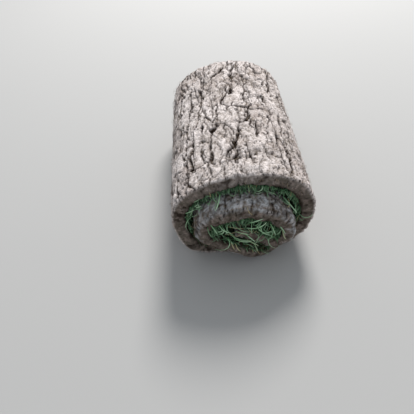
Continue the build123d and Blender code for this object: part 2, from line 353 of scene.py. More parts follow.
@dataclass
class Winding:
    """The line of the strip's soil face, seen from the near end, as arcs that meet smoothly.

    Its sizes are in millimetres, as in the source. Each arc is kept as its distance from the
    tail, its x and z, its heading's angle and its curvature.
    """

    strip_width: float = 457.0
    soil_depth: float = 30.0
    grass_depth: float = 16.0
    heart_width: float = 140.0
    heart_height: float = 25.0
    tail_right: float = -34.0
    tail_flat: float = 40.0
    climb: float = math.radians(32.0)
    foot_radius: float = 60.0
    fold_radius: float = 10.0
    tongue: float = 74.0
    drift: float = 42.0
    most_room: float = 62.0
    same_stretch: float = 70.0
    arcs: list[tuple[float, ...]] = field(default_factory=list)
    marks: dict[str, float] = field(default_factory=dict)

    def __post_init__(self) -> None:
        """Lays the arcs one after the other and notes where each stretch begins."""
        wrap = self.soil_depth + self.grass_depth
        inner = self.heart_width / 2 + self.soil_depth
        outer = inner + wrap
        left, right, up, down = (np.array(h, float) for h in ((-1, 0), (1, 0), (0, 1), (0, -1)))
        uphill = np.array((-math.cos(self.climb), math.sin(self.climb)))
        across = np.array((math.sin(self.climb), math.cos(self.climb)))
        tail_end = np.array((self.tail_right, 0.0))
        tail_bend = tail_end + left * self.tail_flat
        step = tail_end + up * wrap
        foot_run = self.foot_radius * math.tan(self.climb / 2)
        foot = np.array((self.tail_right + wrap / math.tan(self.climb) + foot_run, 0.0))
        climb_start = foot + left * foot_run + uphill * foot_run
        fold = self.soil_depth + self.fold_radius
        fold_x = inner - fold
        fold_z = step[1] + (wrap + fold - (fold_x - step[0]) * across[0]) / across[1]
        tongue_start = np.array((fold_x, fold_z)) - across * fold
        tongue_end = tongue_start + uphill * self.tongue
        inner_top = (tongue_end + across * self.soil_depth)[1] + self.heart_height + self.soil_depth
        top = inner_top + wrap
        crown, inner_crown = np.array((0.0, top)), np.array((0.0, inner_top))
        side, other_side = np.array((-outer, top / 2)), np.array((outer, top / 2))
        inner_side, fold_start = np.array((-inner, top / 2)), np.array((inner, fold_z))
        self._length = 0.0
        self.line(tail_end, left, tail_bend, "tail")
        self.bend(tail_bend, left, side, up, "left")
        self.bend(side, up, crown, right, "rise")
        self.bend(crown, right, other_side, down, "top")
        self.bend(other_side, down, foot, left, "right")
        self.line(foot, left, climb_start, "foot")
        self.line(climb_start, uphill, step, "climb")
        self.bend(step, uphill, inner_side, up, "step")
        self.bend(inner_side, up, inner_crown, right, "inner_rise")
        self.bend(inner_crown, right, fold_start, down, "inner_top")
        self.line(fold_start, down, tongue_start, "fold")
        self.line(tongue_start, uphill, tongue_end, "tongue")
        self.marks["end"] = self._length
        self.drift_start, self.drift_stop = inner, (step + across * wrap)[0]
        self.table = np.array(self.arcs)

    def line(self, start: Array, heading: Array, finish: Array, mark: str) -> None:
        """Adds the one arc that leaves start along the heading and meets finish.

        Args:
            start, finish: The arc's two ends, as x and z.
            heading: The direction at start, of length 1.
            mark: The stretch's name, kept with the distance where it first comes.
        """
        chord = finish - start
        turn = 2 * math.atan2(heading[0] * chord[1] - heading[1] * chord[0], heading @ chord)
        span = float(np.hypot(*chord))
        length = span if abs(turn) < TINY else span * turn / 2 / math.sin(turn / 2)
        curve = 0.0 if abs(turn) < TINY else turn / length
        self.marks.setdefault(mark, self._length)
        self.arcs.append((self._length, *start, math.atan2(heading[1], heading[0]), curve))
        self._length += length

    def bend(self, start: Array, heading: Array, finish: Array, last: Array, mark: str) -> None:
        """Adds the two arcs from start to finish that keep both headings.

        Each leaves one of two corners at the same reach from its end. They meet half way
        between the corners, heading from the one to the other.

        Args:
            start, finish: The two ends, as x and z.
            heading, last: The directions there, of length 1.
            mark: The stretch's name.
        """
        chord, both = finish - start, heading + last
        spread = 2 * (1 - heading @ last)
        shared = chord @ both
        reach = (math.sqrt(shared**2 + spread * (chord @ chord)) - shared) / spread
        corner, last_corner = start + heading * reach, finish - last * reach
        middle = (last_corner - corner) / np.hypot(*(last_corner - corner))
        self.line(start, heading, (corner + last_corner) / 2, mark)
        self.line((corner + last_corner) / 2, middle, finish, mark)

    def on_line(self, s: Array) -> tuple[Array, Array, Array]:
        """Follows the arcs.

        Args:
            s: Distance from the tail, in millimetres.

        Returns:
            x, z and the heading's angle, each arc's from its start and steady curvature.
        """
        row = np.searchsorted(self.table[:, 0], s, "right").clip(1) - 1
        begin, x, z, angle, curve = (self.table[row, column] for column in range(5))
        run = s - begin
        turned = angle + curve * run
        flat = np.abs(curve) < TINY
        tight = np.where(flat, 1.0, curve)
        x = x + np.where(flat, run * np.cos(angle), (np.sin(turned) - np.sin(angle)) / tight)
        z = z + np.where(flat, run * np.sin(angle), (np.cos(angle) - np.cos(turned)) / tight)
        return x, z, turned

    def middle(self, s: Array) -> Array:
        """Where the middle of the strip lies along the roll, while it drifts in the crossing."""
        x, _, _ = self.on_line(s)
        t = np.clip((self.drift_start - x) / (self.drift_start - self.drift_stop), 0, 1)
        t = np.where(s < self.marks["right"], 0, np.where(s > self.marks["step"], 1, t))
        return self.drift * (0.5 - t * t * (3 - 2 * t))

    def place(self, s: Array, v: Array, w: Array) -> Array:
        """Carries places on the flat strip into the roll.

        Args:
            s, v, w: Places on the flat strip, in millimetres.

        Returns:
            x, y and z in millimetres in a last axis of three: the line's point at s, moved
            square to its heading by w and along the roll by v.
        """
        s, v, w = np.broadcast_arrays(s, v, w)
        x, z, turned = self.on_line(np.ascontiguousarray(s, float))
        return np.stack((x + np.sin(turned) * w, self.middle(s) + v, z - np.cos(turned) * w), -1)

    def facing(self, s: Array, v: Array, w: Array) -> Array:
        """The direction in which w grows at each place, off the grassy face."""
        return self.place(s, v, w + 1.0) - self.place(s, v, w)

    def room(self, s: Array) -> Array:
        """Measures the room that the grass has at each s.

        From the grass face, steps of 2 mm go into the roll until one comes within half the
        soil's depth of another stretch's middle line.

        Args:
            s: Distances from the tail, in millimetres.

        Returns:
            Depth of the room in millimetres, most_room where nothing is nearer.
        """
        half = self.soil_depth / 2
        spots = np.arange(0.0, self.marks["end"], 3.0)
        core = self.place(spots, 0 * spots, 0 * spots + half)[:, [0, 2]]
        another = np.abs(s[:, None] - spots[None]) >= self.same_stretch
        room = np.full(s.shape, self.most_room)
        for depth in np.arange(self.most_room - 2, 2.0, -2.0):
            here = self.place(s, 0 * s, 0 * s + self.soil_depth + depth)[:, [0, 2]]
            gap = np.hypot(*(here[:, None] - core[None]).transpose(2, 0, 1))
            gap = np.where(another, gap, np.inf)
            room = np.where(gap.min(1) < half, depth, room)
        return room

    def room_at(self, s: Array) -> Array:
        """The grass's room at each s, between rooms measured every 4 mm."""
        every = np.arange(0.0, self.marks["end"] + 1, 4.0)
        return np.interp(s, every, self.room(every))

    def spot_of(self, x: float, z: float, first: str, last: str) -> float:
        """Finds the s whose point comes nearest to x and z, between two marks."""
        s = np.arange(self.marks[first], self.marks[last], 0.5)
        here_x, here_z, _ = self.on_line(s)
        return float(s[np.argmin(np.hypot(here_x - x, here_z - z))])


# Meshes and nodes


def put(name: str, data: bpy.types.ID) -> bpy.types.Object:
    """Puts a mesh, a lamp or a camera into the scene, as an object at the origin."""
    thing = bpy.data.objects.new(name, data)
    bpy.context.scene.collection.objects.link(thing)
    return thing


def lay_mesh(
    name: str,
    points: Array,
    faces: list[list[int]],
    values: dict[str, Array],
    uv: Array | None = None,
    lowest: float = 0.3,
) -> bpy.types.Object:
    """Makes a smooth-shaded mesh object at the origin.

    Args:
        name: The piece's name.
        points: Places in millimetres, one row each.
        faces: Point numbers of each face, anticlockwise from outside.
        values: Numbers kept on the points for the materials to read.
        uv: Surface coordinates of each point.
        lowest: Height over the floor, in millimetres, that no point goes under.

    Returns:
        The new object.
    """
    points = np.maximum(points, (-np.inf, -np.inf, lowest))
    mesh = bpy.data.meshes.new(name)
    mesh.from_pydata((points * MM).tolist(), [], faces)
    mesh.polygons.foreach_set("use_smooth", np.ones(len(mesh.polygons), bool))
    for title, numbers in values.items():
        layer = mesh.attributes.new(title, "FLOAT", "POINT")
        layer.data.foreach_set("value", np.ascontiguousarray(numbers, np.float32).ravel())
    if uv is not None:
        corners = np.zeros(len(mesh.loops), np.int32)
        mesh.loops.foreach_get("vertex_index", corners)
        layer = mesh.uv_layers.new(name="UVMap")
        layer.data.foreach_set("uv", uv[corners].astype(np.float32).ravel())
    mesh.update()
    return put(name, mesh)


def sheet_faces(rows: int, columns: int, closed: bool) -> Array:
    """Numbers the squares of a grid of points.

    Args:
        rows: How many rows the grid has.
        columns: How many points each row has.
        closed: Whether each row's last point joins its first.

    Returns:
        Four point numbers for each square.
    """
    last = columns if closed else columns - 1
    row, column = np.meshgrid(np.arange(rows - 1) * columns, np.arange(last), indexing="ij")
    after = (column + 1) % columns
    corners = (row + column, row + columns + column, row + columns + after, row + after)
    return np.stack(corners, -1).reshape(-1, 4)


def swept_faces(rows: int, columns: int) -> list[list[int]]:
    """Numbers the squares of a closed section carried along rows, and the faces at both ends."""
    faces = sheet_faces(rows, columns, True).tolist()
    last = (rows - 1) * columns
    return [*faces, list(range(columns)), list(range(last, last + columns))[::-1]]


def add_node(
    tree: bpy.types.NodeTree,
    kind: str,
    sockets: dict[str | int, object] | None = None,
    output: str | int = 0,
    **settings: object,
) -> bpy.types.NodeSocket | None:
    """Adds a node with its settings and links.

    Args:
        tree: The material's or world's tree.
        kind: The node's type, without the word ShaderNode.
        sockets: Its inputs by name or number, each a plain value or another node's output.
        output: Which of its outputs is wanted, by name or number.
        **settings: Its properties.

    Returns:
        The wanted output, or None where the node has none.
    """
    node = tree.nodes.new("ShaderNode" + kind)
    for key, value in settings.items():
        setattr(node, key, value)
    for key, value in (sockets or {}).items():
        if isinstance(value, bpy.types.NodeSocket):
            tree.links.new(value, node.inputs[key])
        else:
            node.inputs[key].default_value = value
    return node.outputs[output] if node.outputs else None


def linear(colour: str) -> tuple[float, float, float, float]:
    """Turns an sRGB hex value into linear light, by the sRGB curve for each channel."""
    parts = [int(colour[i : i + 2], 16) / 255 for i in (1, 3, 5)]
    return (*(c / 12.92 if c <= 0.04045 else ((c + 0.055) / 1.055) ** 2.4 for c in parts), 1.0)


def blank_material(name: str) -> tuple[bpy.types.Material, bpy.types.NodeTree]:
    """Makes a material with an empty tree."""
    material = bpy.data.materials.new(name)
    material.use_nodes = True
    material.node_tree.nodes.clear()
    return material, material.node_tree


def steer(root_s: Array, root_v: Array, aim: Array, ahead: Array, aside: Array) -> tuple[Array, Array]:
    """Lays lines on the flat strip: each root, plus ahead along its aim and aside square to it.

    Args:
        root_s, root_v: Where each line starts.
        aim: Each line's angle from s towards v.
        ahead, aside: How far each line has gone both ways, by line and by step.

    Returns:
        s and v, by line and by step.
    """
    sine, cosine = np.sin(aim)[:, None], np.cos(aim)[:, None]
    s = root_s[:, None] + ahead * cosine - aside * sine
    v = root_v[:, None] + ahead * sine + aside * cosine
    return s, v


def taper(width: Array, t: Array, power: int, foot: float, fuller: float) -> Array:
    """Half widths along blades: half of each width times (1 - t^power) (foot + fuller t)."""
    return width[:, None] / 2 * (1 - t**power) * (foot + fuller * t)


def leaf_sheet(
    name: str,
    middle: Array,
    facing: Array,
    tilt: Array,
    wide: Array,
    dip: float,
    values: dict[str, Array],
) -> bpy.types.Object:
    """Makes many leaves from their middle lines.

    Across each point of a line lies the direction square to the line and to its facing, turned
    about the line by the tilt. The leaf's edges are the point plus and minus half the width
    that way, and its midrib is pushed down by dip half widths.

    Args:
        name: The piece's name.
        middle: Points in millimetres, by leaf and by step along it.
        facing: The direction that each leaf's face looks, which broadcasts to the points.
        tilt: Angle of each leaf in radians.
        wide: Half width of each leaf at each step.
        dip: Depth of the fold, as a share of the half width.
        values: Numbers of each leaf for the material.

    Returns:
        The joined object.
    """
    count, steps = middle.shape[:2]
    along = np.gradient(middle, axis=1)
    along /= np.linalg.norm(along, axis=2, keepdims=True) + TINY
    level = np.cross(along, facing)
    tilt = tilt[:, None, None]
    level = level * np.cos(tilt) + np.cross(along, level) * np.sin(tilt)
    level /= np.linalg.norm(level, axis=2, keepdims=True) + TINY
    edge, rib = wide[..., None] * level, wide[..., None] * dip * np.cross(level, along)
    points = np.stack((middle - edge, middle - rib, middle + edge), 2)
    leaf = sheet_faces(steps, 3, False)
    faces = (leaf[None] + np.arange(count)[:, None, None] * steps * 3).reshape(-1, 4).tolist()
    values = {title: np.repeat(numbers, steps * 3) for title, numbers in values.items()}
    uv = np.stack(np.meshgrid((0.0, 0.5, 1.0), np.linspace(0, 1, steps)), -1).reshape(-1, 2)
    return lay_mesh(name, points.reshape(-1, 3), faces, values, np.tile(uv, (count, 1)))


# Finishes


@dataclass(frozen=True)
class DrySoil:
    """Topsoil bound by roots, cut clean and dried by the sun.

    It is dead matt and pale brown-grey, darker and browner where it is still damp on the cut
    edges, with grit of about 1.4 mm and crumbs of about 4.5 mm. Its cracks, pits and specks are
    nearly black with painted shade. Each fine crack is how far apart it lies around and along the
    roll, then its width, in mm.
    The noises are those of the patches, the crumbs, the grit, the breaks in the cracks and
    their shaking, each by its size in mm, detail and roughness. Crumbs, the plates' tone and
    grit bleach the soil by their three weights, over the least.
    """

    name: str = "dry soil bound by roots"
    dry: str = "#AB9D93"
    bleached: str = "#F7ECE7"
    brown: str = "#A08F86"
    damp: str = "#6D645A"
    # deep is the painted shade in cracks, pits and specks.
    deep: str = "#281C15"
    fine_mm: tuple[tuple[float, float, float], ...] = ((17.0, 46.0, 1.5), (7.0, 15.0, 0.8))
    torn_mm: tuple[float, float] = (9.0, 22.0)
    shaken_mm: tuple[float, float] = (14.0, 20.0)
    noises: tuple[tuple[float, float, float], ...] = (
        (42.0, 3.0, 0.62),
        (4.5, 5.0, 0.62),
        (1.4, 2.0, 0.62),
        (16.0, 3.0, 0.5),
        (7.0, 4.0, 0.7),
    )
    least_bleach: float = -1.48
    bleach: tuple[float, float, float] = (2.2, 0.35, 1.6)
    grit_height: float = 0.4
    crack_height: float = -0.45

    def material(self) -> bpy.types.Material:
        """Mixes patches, plates, damp and the painted shade of cracks, and bumps the grit and the finest
        cracks.

        The mesh gives the larger cracks, the damp and each plate's tone. The finest cracks run
        half way between the random centres of a Voronoi pattern on the flat strip, stretched
        along the roll and shaken by noise, and are broken up by patches.

        Returns:
            The material.
        """
        material, tree = blank_material(self.name)
        place = add_node(tree, "TexCoord", output="Object")
        strip = add_node(tree, "UVMap", uv_map="UVMap")
        tone = add_node(tree, "Attribute", {}, "Fac", attribute_name="tone")
        crack = add_node(tree, "Attribute", {}, "Fac", attribute_name="crack")
        damp = add_node(tree, "Attribute", {}, "Fac", attribute_name="damp")
        noises = []
        for size, detail, roughness in self.noises:
            swells = {"Vector": place, "Scale": SWELLS_MM / size, "Detail": detail, "Roughness": roughness}
            noises.append(add_node(tree, "TexNoise", swells, "Fac"))
        patch, crumb, grit, broken, shake = noises
        around, along = self.shaken_mm
        shake = {0: shake.node.outputs["Color"], 1: (around * MM, along * MM, 0.0), 2: strip}
        shake = add_node(tree, "VectorMath", shake, operation="MULTIPLY_ADD")
        flats = []
        for around, along in (*(line[:2] for line in self.fine_mm), self.torn_mm):
            flat = {0: shake, 1: (1 / MM / around, 1 / MM / along, 1)}
            flats.append(add_node(tree, "VectorMath", flat, operation="MULTIPLY"))
        lines = []
        for flat, (around, _, width) in zip(flats, self.fine_mm):
            cells = {"feature": "DISTANCE_TO_EDGE", "voronoi_dimensions": "2D"}
            edge = add_node(tree, "TexVoronoi", {"Vector": flat, "Scale": 1.0}, "Distance", **cells)
            edge = {"Value": edge, "From Min": width / around, "From Max": 0.0}
            lines.append(add_node(tree, "MapRange", edge, interpolation_type="SMOOTHSTEP"))
        torn = {"Vector": flats[-1], "Scale": 1.0, "Detail": 5.0, "Roughness": 0.68}
        torn = add_node(tree, "TexNoise", torn, "Fac", noise_dimensions="2D")
        # Each mask is a value, the two levels between which it sets in, and its least and most.
        masks = (
            (broken, 0.48, 0.62, 0.0, 0.8),
            (broken, 0.44, 0.34, 0.0, 0.5),
            (damp, 0.9, 0.3, 0.25, 1.0),
            (patch, 0.5, 0.7, 0.0, 0.7),
            (crumb, 0.47, 0.64, 0.0, 0.8),
            (torn, 0.4, 0.31, 0.0, 0.9),
            (grit, 0.42, 0.28, 0.0, 0.6),
        )
        ends = ("Value", "From Min", "From Max", "To Min", "To Max")
        masks = [add_node(tree, "MapRange", dict(zip(ends, mask))) for mask in masks]
        kept, rest, crusty, stain, clods, pits, specks = masks
        first = add_node(tree, "Math", {0: lines[0], 1: kept}, operation="MULTIPLY")
        second = add_node(tree, "Math", {0: lines[1], 1: rest}, operation="MULTIPLY")
        finest = add_node(tree, "Math", {0: first, 1: second}, operation="MAXIMUM")
        finest = add_node(tree, "Math", {0: finest, 1: crusty}, operation="MULTIPLY")
        bleach = self.least_bleach
        for noise, weight in zip((crumb, tone, grit), self.bleach):
            bleach = add_node(tree, "Math", {0: noise, 1: weight, 2: bleach}, operation="MULTIPLY_ADD")
        # Painted shade: cracks, pits, the finest cracks and specks are darkened towards deep.
        hollow = crack
        for mask in (pits, finest, specks):
            hollow = add_node(tree, "Math", {0: hollow, 1: mask}, operation="MAXIMUM")
        colours = (self.dry, self.bleached, self.brown, self.damp, self.deep)
        colour, bleached, brown, wet, deep = (linear(colour) for colour in colours)
        wet = add_node(tree, "Mix", {0: clods, 6: wet, 7: brown}, 2, data_type="RGBA")
        for share, over in ((bleach, bleached), (stain, brown), (damp, wet), (hollow, deep)):
            colour = add_node(tree, "Mix", {0: share, 6: colour, 7: over}, 2, data_type="RGBA")
        deeper = add_node(tree, "Math", {0: finest, 1: pits}, operation="MAXIMUM")
        height = crumb
        for noise, weight in ((grit, self.grit_height), (deeper, self.crack_height)):
            height = add_node(tree, "Math", {0: noise, 1: weight, 2: height}, operation="MULTIPLY_ADD")
        bump = add_node(tree, "Bump", {"Strength": 0.7, "Distance": 5 * MM, "Height": height}, "Normal")
        skin = {"Base Color": colour, "Normal": bump, "Roughness": 0.96, "Specular IOR Level": 0.15}
        add_node(tree, "OutputMaterial", {"Surface": add_node(tree, "BsdfPrincipled", skin)})
        return material


@dataclass(frozen=True)
class GrassBlade:
    """Blades of ryegrass and fescue, mown short and pressed by the roll.

    They are satin green with fine lengthwise veins, paler towards the cut tip, partly their own
    pale tip and partly painted sunlight, and a few are dead straw.
    """

    shade: str = "#183F22"
    leaf: str = "#56A65D"
    # The near-white tip colour is partly the cut tip's own pale and partly painted sunlight.
    tip: str = "#D8F5CF"
    straw: str = "#C2B185"
    veins: float = 5.0
    tip_paling_and_light: float = 0.6

    def material(self) -> bpy.types.Material:
        """Mixes the greens by each blade's own tone and along its length, with veins as a bump.

        The share of the pale tip, partly the blade's own and partly painted sunlight, is the place
        along the blade raised to the given power, times the tone. The veins are a sine across the
        blade.

        Returns:
            The material.
        """
        material, tree = blank_material("pressed turf grass")
        tone = add_node(tree, "Attribute", {}, "Fac", attribute_name="tone")
        dead = add_node(tree, "Attribute", {}, "Fac", attribute_name="dead")
        across = add_node(tree, "SeparateXYZ", {0: add_node(tree, "UVMap", uv_map="UVMap")})
        along = across.node.outputs[1]
        tipped = add_node(tree, "Math", {0: along, 1: self.tip_paling_and_light}, operation="POWER")
        tipped = add_node(tree, "Math", {0: tipped, 1: tone}, operation="MULTIPLY")
        colour = linear(self.shade)
        for share, over in ((tone, self.leaf), (tipped, self.tip), (dead, self.straw)):
            colour = add_node(tree, "Mix", {0: share, 6: colour, 7: linear(over)}, 2, data_type="RGBA")
        ribs = add_node(tree, "Math", {0: across, 1: 2 * math.pi * self.veins}, operation="MULTIPLY")
        ribs = add_node(tree, "Math", {0: ribs}, operation="SINE")
        bump = add_node(tree, "Bump", {"Strength": 0.35, "Distance": 0.4 * MM, "Height": ribs}, "Normal")
        skin = {"Base Color": colour, "Normal": bump, "Roughness": 0.5, "Specular IOR Level": 0.35}
        add_node(tree, "OutputMaterial", {"Surface": add_node(tree, "BsdfPrincipled", skin)})
        return material


@dataclass(frozen=True)
class Thatch:
    """The felt of stems and dead leaf at the foot of the grass, damp and darkened by painted shade.

    The strands are about 1.5 mm thick, and drawn at 3 mm so that they show. The patches of
    leaf mould are about 11 mm across.
    """

    # The stem and leaf-mould colours are dark partly by painted shade of the gaps between the wraps.
    stem: str = "#1F3D22"
    leaf_mould: str = "#352A1C"
    # hollow is painted shade in the felt's hollows, where the bump is low.
    hollow: str = "#0C150D"
    strand_mm: float = 3.0
    patch_scale: float = 45.0

    def material(self) -> bpy.types.Material:
        """Mixes stems and leaf mould by noise, with painted shade where the strands' noise is deep.

        Returns:
            The material.
        """
        material, tree = blank_material("thatch with painted shade")
        place = add_node(tree, "TexCoord", output="Object")
        strands = {"Vector": place, "Scale": SWELLS_MM / self.strand_mm, "Detail": 3.0, "Distortion": 1.8}
        strands = add_node(tree, "TexNoise", strands, "Fac")
        patches = {"Vector": place, "Scale": self.patch_scale, "Detail": 2.0}
        patches = add_node(tree, "TexNoise", patches, "Fac")
        colour = linear(self.stem)
        stages = ((patches, 0.4, 0.65, self.leaf_mould), (strands, 0.6, 0.36, self.hollow))
        for noise, low, high, over in stages:
            share = add_node(tree, "MapRange", {"Value": noise, "From Min": low, "From Max": high})
            colour = add_node(tree, "Mix", {0: share, 6: colour, 7: linear(over)}, 2, data_type="RGBA")
        bump = add_node(tree, "Bump", {"Strength": 1.0, "Distance": 5 * MM, "Height": strands}, "Normal")
        skin = {"Base Color": colour, "Normal": bump, "Roughness": 0.9, "Specular IOR Level": 0.2}
        add_node(tree, "OutputMaterial", {"Surface": add_node(tree, "BsdfPrincipled", skin)})
        return material


@dataclass(frozen=True)
class RootFibre:
    """Fine grass roots, dry and matt, between straw and the soil's own brown."""

    pale: str = "#9C8B74"
    dark: str = "#4A3A2C"

    def material(self) -> bpy.types.Material:
        """Mixes the two browns by each root's own tone.

        Returns:
            The material.
        """
        material, tree = blank_material("dry grass root")
        tone = add_node(tree, "Attribute", {}, "Fac", attribute_name="tone")
        colour = {0: tone, 6: linear(self.dark), 7: linear(self.pale)}
        colour = add_node(tree, "Mix", colour, 2, data_type="RGBA")
        skin = {"Base Color": colour, "Roughness": 0.85, "Specular IOR Level": 0.2}
        add_node(tree, "OutputMaterial", {"Surface": add_node(tree, "BsdfPrincipled", skin)})
        return material


# The studio


@dataclass
class Studio:
    """The photograph's viewpoint, a pale floor and soft light from behind and above.

    Angles are in degrees, and places and widths in metres.
    """

    focal_pixels: float = 394.5
    sensor_mm: float = 36.0
    tip_down: float = 45.82
    roll: float = -8.16
    yaw: float = -3.31
    stand: tuple[float, float, float] = (-0.039, -0.747, 0.704)
    floor_reach: float = 6.0
    floor_colour: str = "#BAB8B5"
    sky_colour: str = "#E8EFF7"
    sky_strength: float = 0.58
    lamp_stand: tuple[float, float, float] = (0.95, 3.3, 3.35)
    lamp_aim: tuple[float, float, float] = (0.0, 0.05, 0.1)
    lamp_width: float = 1.7
    lamp_watts: float = 262.0

    def directions(self) -> Array:
        """Turns the camera's axes by its tip, its yaw and then its roll.

        Returns:
            Its right, down and ahead, one row each.
        """
        tip, yaw, roll = (math.radians(a) for a in (self.tip_down, self.yaw, self.roll))
        ahead = np.array((math.sin(yaw) * math.cos(tip), math.cos(yaw) * math.cos(tip), -math.sin(tip)))
        right = np.array((math.cos(yaw), -math.sin(yaw), 0.0))
        down = np.cross(ahead, right)
        sine, cosine = math.sin(roll), math.cos(roll)
        return np.stack((cosine * right - sine * down, sine * right + cosine * down, ahead))

    def spots(self, across: Array, down: Array, depth: Array) -> Array:
        """Finds the places that pixels of the photograph show.

        The ray of a pixel leaves the camera's stand along its offsets from the picture's
        middle, over the focal length, times right and down, plus ahead. It is followed until
        y is the depth.

        Args:
            across, down: Pixels from the photograph's left and top edges.
            depth: The y of each place, in millimetres.

        Returns:
            The places in millimetres.
        """
        middle = PHOTO_PIXELS / 2
        offsets = np.stack((across - middle, down - middle, 0 * across + self.focal_pixels), -1)
        rays = offsets @ self.directions()
        stand = np.array(self.stand) / MM
        return stand + rays * ((depth - stand[1]) / rays[:, 1])[:, None]

    def point(self, thing: bpy.types.Object, stand: tuple[float, ...], *axes: Array) -> None:
        """Stands the camera or a lamp in its place, its own x, y and z along the three axes."""
        thing.matrix_world = Matrix.Translation(stand) @ Matrix(np.stack(axes, 1).tolist()).to_4x4()

    def camera(self) -> None:
        """Aims the camera as the photograph's was."""
        right, down, ahead = self.directions()
        lens = bpy.data.cameras.new("viewpoint")
        lens.sensor_width = self.sensor_mm
        lens.lens = self.sensor_mm * self.focal_pixels / PHOTO_PIXELS
        lens.clip_start = 0.01
        eye = put("viewpoint", lens)
        self.point(eye, self.stand, right, -down, -ahead)
        bpy.context.scene.camera = eye

    def floor(self) -> None:
        """Lays a plain pale floor."""
        mesh = bpy.data.meshes.new("floor")
        corners = self.floor_reach * np.array(((-1, -1, 0), (1, -1, 0), (1, 1, 0), (-1, 1, 0)))
        mesh.from_pydata(corners.tolist(), [], [(0, 1, 2, 3)])
        material, tree = blank_material("pale floor")
        skin = {"Base Color": linear(self.floor_colour), "Roughness": 0.9, "Specular IOR Level": 0.2}
        add_node(tree, "OutputMaterial", {"Surface": add_node(tree, "BsdfPrincipled", skin)})
        mesh.materials.append(material)
        put("floor", mesh)

    def lights(self) -> None:
        """Sets a pale even sky and one wide soft lamp behind and above the roll."""
        world = bpy.data.worlds.new("studio")
        world.use_nodes = True
        tree = world.node_tree
        tree.nodes.clear()
        sky = {"Color": linear(self.sky_colour), "Strength": self.sky_strength}
        add_node(tree, "OutputWorld", {"Surface": add_node(tree, "Background", sky)})
        bpy.context.scene.world = world
        lamp = bpy.data.lights.new("soft_lamp", "AREA")
        lamp.shape, lamp.size, lamp.energy = "DISK", self.lamp_width, self.lamp_watts
        back = np.array(self.lamp_stand) - np.array(self.lamp_aim)
        back /= np.linalg.norm(back)
        side = np.cross((0.0, 0.0, 1.0), back)
        side /= np.linalg.norm(side)
        self.point(put("soft_lamp", lamp), self.lamp_stand, side, np.cross(back, side), back)
        bpy.context.scene.view_settings.view_transform = "Standard"


# Pieces of soil


class Slot(Enum):
    """Names of the soil and grass material slots, which nothing here uses."""

    SOIL = "soil"
    GRASS = "grass"


def seat(piece: bpy.types.Object, material: bpy.types.Material, node: str) -> None:
    """Dresses a piece, hangs it on the one body and hides the CAD node that it stands for.

    Args:
        piece: The object.
        material: Its finish.
        node: The CAD node that it replaces.
    """
    piece.data.materials.append(material)
    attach(piece, "root")
    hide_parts(node)
    LOG.info("%s: %d points, %d faces", piece.name, len(piece.data.vertices), len(piece.data.polygons))


@dataclass(frozen=True)
class Features:
    """What the soil face shows at each point: openings and marks from 0 up, heights from -1 to 1.

    The main, wide and fine cracks and the ones between the chips are how open they are. The
    pits are how deep. The clod and the tear are how much of the point they cover. The plate,
    the chip, the grain and the fraying are random heights.
    """

    main: Array
    wide: Array
    fine: Array
    small: Array
    pits: Array
    clod: Array
    tear: Array
    plate: Array
    chip: Array
    grain: Array
    frayed: Array


